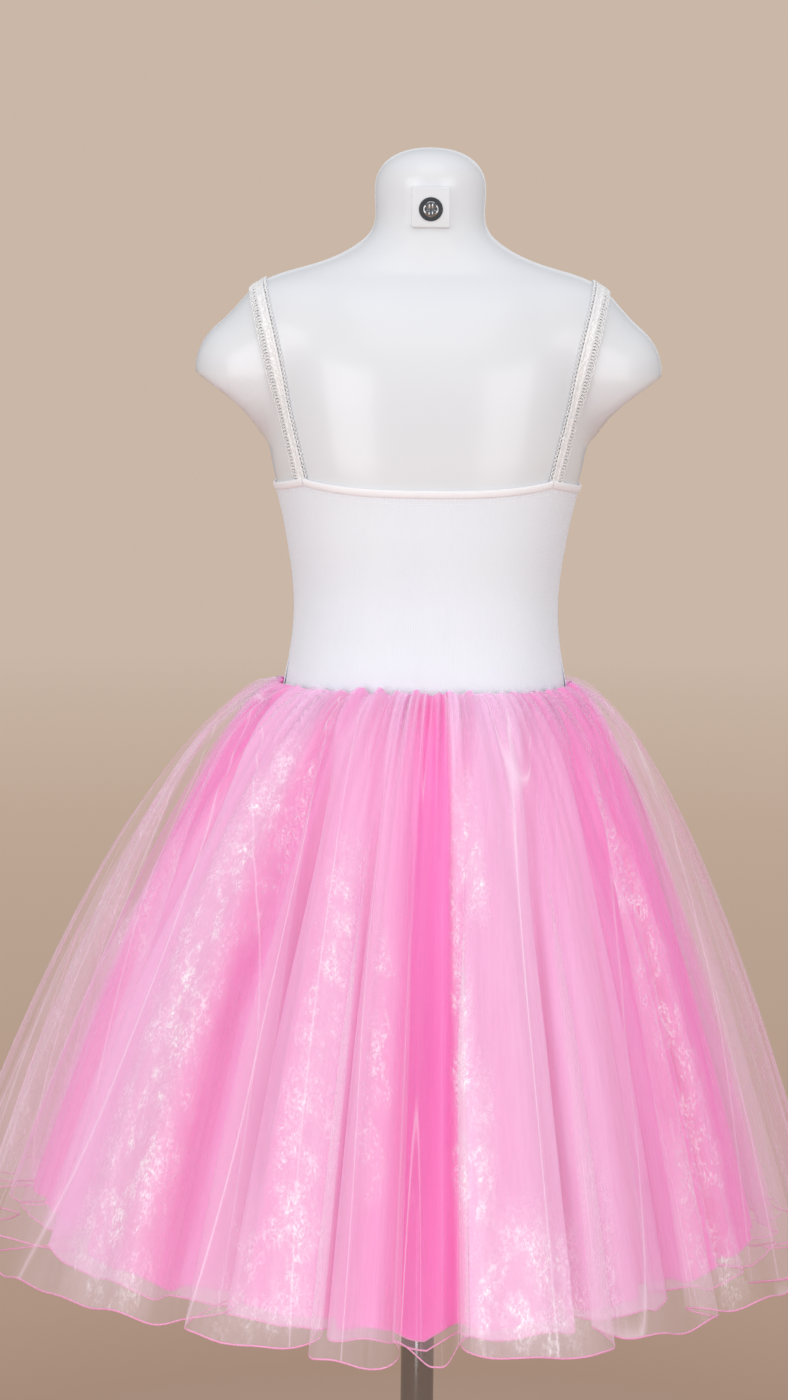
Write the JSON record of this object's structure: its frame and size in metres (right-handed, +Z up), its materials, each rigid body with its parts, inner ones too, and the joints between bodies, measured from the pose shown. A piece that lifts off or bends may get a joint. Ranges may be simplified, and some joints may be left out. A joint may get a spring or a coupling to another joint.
{
  "type": "ballet tutu on a limbless torso form",
  "caption": "Child's ballet tutu with a camisole bodice and long gathered organza skirt, worn on a limbless torso form with a round floor stand.",
  "frame": {"origin": "on the floor, at the centre of the stand's base", "axes": "+Z up the pole to the neck, -Y out of the back of the dress, +X to the wearer's right-hand side"},
  "size_m": [0.5998, 0.5847, 0.9969],
  "materials": {
    "stand_metal": "polished chrome plate",
    "form_plastic": "glossy moulded white plastic",
    "dark_grommet": "dark split grommet",
    "jersey": "fine white stretch cotton jersey",
    "elastic": "soft white fold-over elastic",
    "lace_elastic": "white elastic with an openwork lace edge",
    "net_hot_pink": "dense hot-pink net",
    "organza_pink": "sheer pink organza",
    "organza_clear": "clear crystal organza with a pearly crinkle"
  },
  "bodies": {
    "root": {"stand_base": "stand_metal", "stand_pole": "stand_metal", "torso_form": "form_plastic", "neck_pad": "form_plastic", "neck_ring": "dark_grommet", "neck_bolt": "stand_metal", "bodice_back": "jersey", "bodice_front": "jersey", "binding_back": "elastic", "binding_front": "elastic", "binding_underarm_left": "elastic", "binding_underarm_right": "elastic", "strap_left": "lace_elastic", "strap_right": "lace_elastic", "skirt_inner": "net_hot_pink", "skirt_middle": "organza_pink", "skirt_overlay": "organza_clear"}
  },
  "joints": []
}
